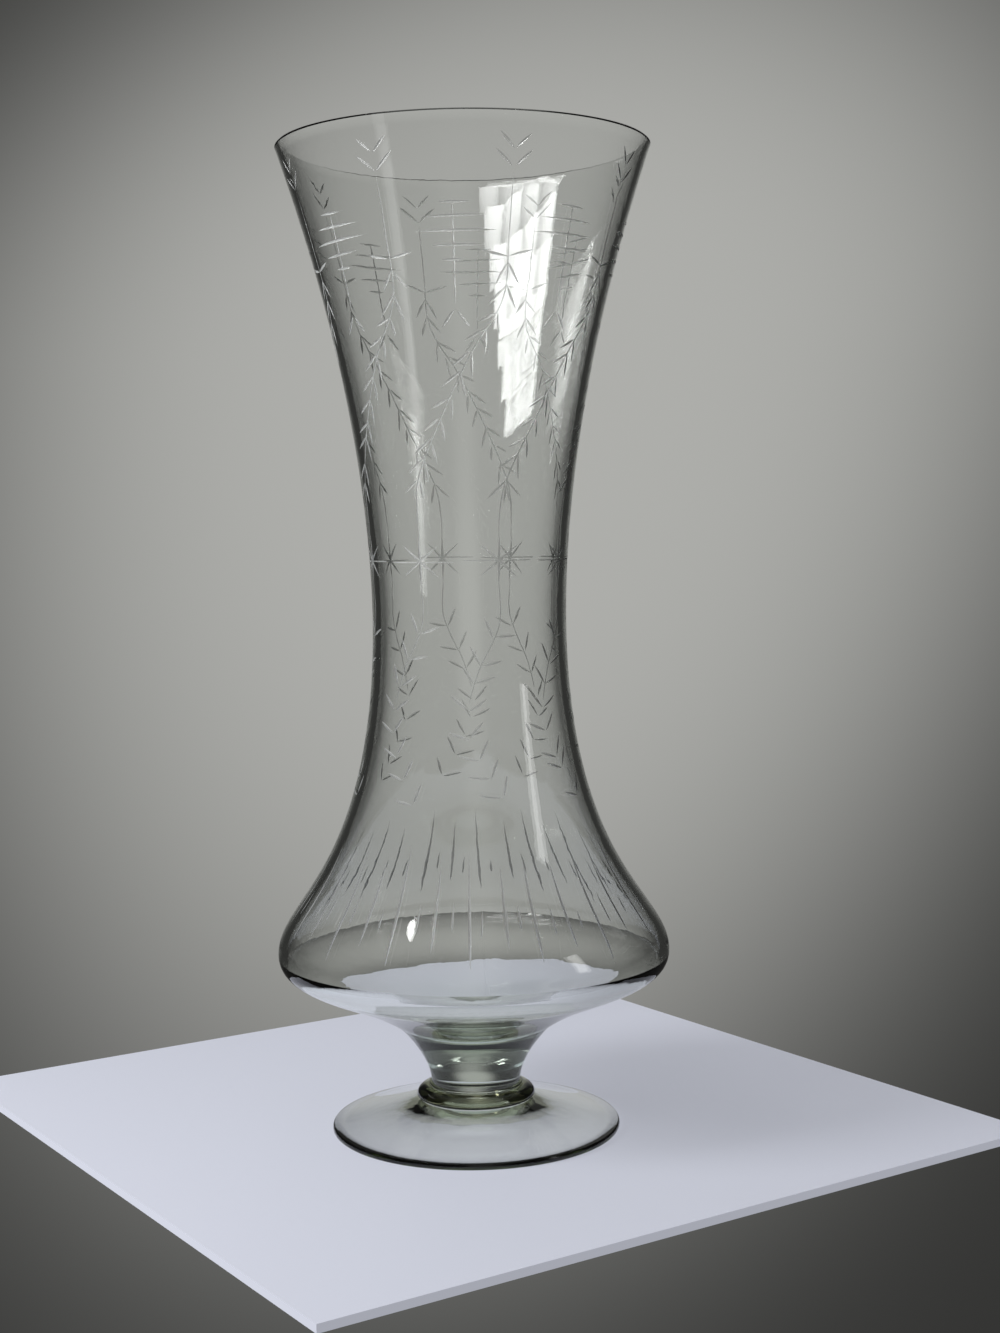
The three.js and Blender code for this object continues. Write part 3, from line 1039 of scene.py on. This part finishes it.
def set_camera(stage):
    """Puts the camera before the vase, turned down, then to the right, and rolled about its own axis."""
    data = bpy.data.cameras.new("camera")
    data.lens = stage.lens
    data.sensor_width = 36.0
    camera = bpy.data.objects.new("camera", data)
    bpy.context.scene.collection.objects.link(camera)
    turn = Matrix.Rotation(-stage.yaw, 4, "Z") @ Matrix.Rotation(math.pi / 2 - stage.pitch, 4, "X")
    turn = turn @ Matrix.Rotation(-stage.roll, 4, "Z")
    camera.matrix_world = Matrix.Translation((0, -stage.camera_distance, stage.camera_height)) @ turn
    bpy.context.scene.camera = camera


def pale_floor(stage, rgb):
    """The floor's finish. Part of its light is its own, so that the shadow stays soft: an even share, and
    painted light: more of it under the foot, and a little pool under the stem, which fades as e to
    minus the square of the distance."""
    material = bpy.data.materials.new("pale_floor")
    shader = Shader(material)
    lit = dull(shader, rgb, 0.35, 1.4)
    place = shader.node("ShaderNodeTexCoord", {}, {}, "Object")
    across = axis_of(place, "X")
    back = axis_of(place, "Y")
    apart = across * across + back * back
    # A painted pool of light under the stem.
    gathered = (0 - apart / stage.painted_light_reach**2).exponential()
    strength = 1 + stage.painted_light_under_stem * gathered
    glow = shader.node("ShaderNodeEmission", {}, {"Color": opaque(rgb), "Strength": strength})
    edge_sharpness = 6
    share = apart / reach_of("foot") ** 2
    under = (0 - share**edge_sharpness).exponential()
    # Painted light: the floor's own share of light rises under the foot.
    even = stage.floor_glow + (stage.painted_glow_under_foot - stage.floor_glow) * under
    straight = shader.node("ShaderNodeLightPath", {}, {}, "Is Camera Ray")
    mirrored = shader.node("ShaderNodeLightPath", {}, {}, "Is Glossy Ray")
    through = shader.node("ShaderNodeLightPath", {}, {}, "Is Transmission Ray")
    seen = (straight + mirrored + through).capped(1)
    surface = shader.node("ShaderNodeMixShader", {}, {0: seen * even, 1: lit, 2: glow})
    shader.node("ShaderNodeOutputMaterial", {}, {"Surface": surface})
    return material


def lay_floor(stage, rgb):
    """Lays the square pale floor just under the vase."""
    gap = 0.05 * MM
    half = stage.floor_side / 2
    cosine, sine = math.cos(stage.floor_turn), math.sin(stage.floor_turn)
    corners = np.array([(-half, -half), (half, -half), (half, half), (-half, half)])
    corners = corners @ np.array([(cosine, sine), (-sine, cosine)])
    corners = corners + np.array([stage.floor_right, stage.floor_back])
    points = [(x, y, z) for z in (-gap - stage.floor_thickness, -gap) for x, y in corners]
    faces = [(3, 2, 1, 0), (4, 5, 6, 7), (0, 1, 5, 4), (1, 2, 6, 5), (2, 3, 7, 6), (3, 0, 4, 7)]
    mesh = bpy.data.meshes.new("floor")
    mesh.from_pydata(points, [], faces)
    mesh.materials.append(pale_floor(stage, rgb))
    floor = bpy.data.objects.new("floor", mesh)
    bpy.context.scene.collection.objects.link(floor)


def lamp(name, direction, distance, target_height, size, strength, spread=180.0, mirrored=True):
    """A soft rectangular lamp that faces a point on the axis of the vase.

    Direction is azimuth and elevation from that point, and spread the width of the beam, in degrees.
    Strength is the brightness straight ahead: a narrow beam comes out brighter by its tangent over its
    tangent less its angle, which is divided out. A lamp that isn't mirrored lights the floor alone."""
    azimuth, elevation = np.radians(direction)
    light = bpy.data.lights.new(name, "AREA")
    light.shape = "RECTANGLE"
    light.size, light.size_y = size
    half = math.radians(spread) / 2
    gain = math.tan(half) / (math.tan(half) - half) if spread < 180 else 1
    light.energy = strength * math.pi * size[0] * size[1] / gain
    light.spread = 2 * half
    lamp_object = bpy.data.objects.new(name, light)
    level = distance * math.cos(elevation)
    height = target_height + distance * math.sin(elevation)
    place = (level * math.sin(azimuth), -level * math.cos(azimuth), height)
    face = Matrix.Rotation(azimuth, 4, "Z") @ Matrix.Rotation(math.pi / 2 - elevation, 4, "X")
    lamp_object.matrix_world = Matrix.Translation(place) @ face
    lamp_object.visible_camera = False
    lamp_object.visible_glossy = mirrored
    lamp_object.visible_transmission = mirrored
    bpy.context.scene.collection.objects.link(lamp_object)


def softbox(name, rows, columns, distance, target_height, strength):
    """A softbox of small panels on a sphere about a point on the axis, each facing that point.

    A row is its lowest and highest elevation and its two end azimuths, in degrees. The beam of a panel
    is narrow, so that it reaches the trumpet and not the bulb."""
    overlap = 1.03
    for row, (low, high, start, end) in enumerate(rows):
        elevation = (low + high) / 2
        step = (end - start) / columns
        width = distance * math.cos(math.radians(elevation)) * math.radians(abs(step)) * overlap
        size = (width, distance * math.radians(high - low) * overlap)
        for column in range(columns):
            direction = (start + (column + 0.5) * step, elevation)
            lamp(f"{name}_{row}_{column}", direction, distance, target_height, size, strength, spread=24)


def hang_lamps():
    """Hangs the lamps: a tall softbox at the left that leans back as it rises, a soft one behind it, a
    small low one, a strip at the right, a small high one, and a wide one that lights the floor alone."""
    bottom, top, step = 16, 55, 5.7
    rows = []
    for low in np.arange(bottom, top, step):
        climb = low - bottom
        rows.append((low, low + step, -45 + 0.9 * climb, -81 - 0.1 * climb))
    trumpet = 0.44
    softbox("left_softbox", rows, columns=4, distance=0.9, target_height=trumpet, strength=14.0)
    lamp("back_softbox", (-122, 17), 0.9, trumpet, (0.5, 0.22), strength=2.5, spread=50)
    lamp("low_softbox", (-50, -17), 0.9, trumpet, (0.12, 0.09), strength=1.6, spread=24)
    lamp("right_strip", (64, 17), 1.1, 0.2, (0.14, 0.5), strength=2.7)
    lamp("high_softbox", (-56, 49.75), 1.2, 0.12, (0.19, 0.093), strength=16.0)
    lamp("floor_softbox", (-67, 33), 1.2, 0.0, (0.45, 0.45), strength=30.0, mirrored=False)


def soft_step(value, start, end, most):
    """Nothing until the value reaches the start, and the most from the end on."""
    limits = {"From Min": start, "From Max": end, "To Min": 0.0, "To Max": most}
    settings = {"interpolation_type": "SMOOTHSTEP"}
    return value.shader.node("ShaderNodeMapRange", settings, {"Value": value, **limits})


def light_surroundings(stage, rgb):
    """Lights the plain surroundings: a soft bright patch behind the vase, which fades as e to minus the
    fourth power of the distance from its middle, and a little more light from above and below."""
    world = bpy.data.worlds.new("surroundings")
    bpy.context.scene.world = world
    shader = Shader(world)
    facing = shader.node("ShaderNodeTexCoord", {}, {}, "Generated")
    height = axis_of(facing, "Z")
    side = (axis_of(facing, "X") - stage.glow_side) / stage.glow_width
    over = height.capped(stage.glow_top) - stage.glow_rise
    rise = over.raised(0) / stage.glow_height + over.capped(0) / stage.glow_depth
    away = side * side + rise * rise - stage.glow_slant * side * rise
    strength = stage.dusk + (1 - stage.dusk) * (0 - away * away).exponential()
    strength = strength + soft_step(height, 0.5, 0.9, stage.ceiling)
    strength = strength + soft_step(height, -0.45, -0.75, stage.ground)
    light = shader.node("ShaderNodeBackground", {}, {"Color": opaque(rgb), "Strength": strength})
    shader.node("ShaderNodeOutputWorld", {}, {"Surface": light})


class VASE_OT_stage(bpy.types.Operator):
    """Set up the camera, the pale floor, the lamps and the plain surroundings"""

    bl_idname = "vase.stage"
    bl_label = "Stage"

    def execute(self, context):
        stage = context.scene.vase_stage
        colours = context.scene.vase_colours
        set_camera(stage)
        lay_floor(stage, colours.floor)
        hang_lamps()
        light_surroundings(stage, colours.surroundings)
        context.scene.view_settings.view_transform = "Standard"
        return {"FINISHED"}


class VASE_OT_glasses(bpy.types.Operator):
    """Melt the four glasses"""

    bl_idname = "vase.glasses"
    bl_label = "Glasses"

    def execute(self, context):
        colours = context.scene.vase_colours
        context.scene.vase_glass_bowl = glass("bowl_glass", colours.bowl, 22.0, 0.02)
        context.scene.vase_glass_stem = glass("stem_glass", colours.stem, 12.0, 0.02)
        context.scene.vase_glass_collar = glass("collar_glass", colours.collar, 95.0, 0.03)
        context.scene.vase_glass_foot = glass("foot_glass", colours.foot, 28.0, 0.03)
        return {"FINISHED"}


class VASE_PT_panel(bpy.types.Panel):
    """The steps of the vase, in the sidebar"""

    bl_idname = "VASE_PT_panel"
    bl_label = "Engraved Vase"
    bl_space_type = "VIEW_3D"
    bl_region_type = "UI"
    bl_category = "Vase"

    def draw(self, context):
        for step in STEPS:
            self.layout.operator(step.bl_idname)
        for name in GROUPS:
            group = getattr(context.scene, name)
            for size in group.__annotations__:
                self.layout.prop(group, size)


GROUPS = {
    "vase_sizes": VaseSizes,
    "vase_cuts": CutSizes,
    "vase_colours": GlassColours,
    "vase_stage": StageSizes,
}
GLASSES = ("vase_glass_bowl", "vase_glass_stem", "vase_glass_collar", "vase_glass_foot")
STEPS = (VASE_OT_stage, VASE_OT_glasses, VASE_OT_foot, VASE_OT_collar, VASE_OT_stem, VASE_OT_bowl)


def register():
    """Adds the groups, the steps, the panel and the places for the four glasses."""
    for kind in (*GROUPS.values(), *STEPS, VASE_PT_panel):
        bpy.utils.register_class(kind)
    for name, kind in GROUPS.items():
        setattr(bpy.types.Scene, name, PointerProperty(type=kind))
    for name in GLASSES:
        setattr(bpy.types.Scene, name, PointerProperty(type=bpy.types.Material))


def unregister():
    """Takes them out again."""
    for name in (*GROUPS, *GLASSES):
        delattr(bpy.types.Scene, name)
    for kind in (VASE_PT_panel, *reversed(STEPS), *reversed(GROUPS.values())):
        bpy.utils.unregister_class(kind)


def main():
    """Builds the vase on its stage."""
    register()
    bpy.ops.vase.stage()
    bpy.ops.vase.glasses()
    bpy.ops.vase.foot()
    bpy.ops.vase.collar()
    bpy.ops.vase.stem()
    bpy.ops.vase.bowl()


if __name__ == "__main__":
    main()
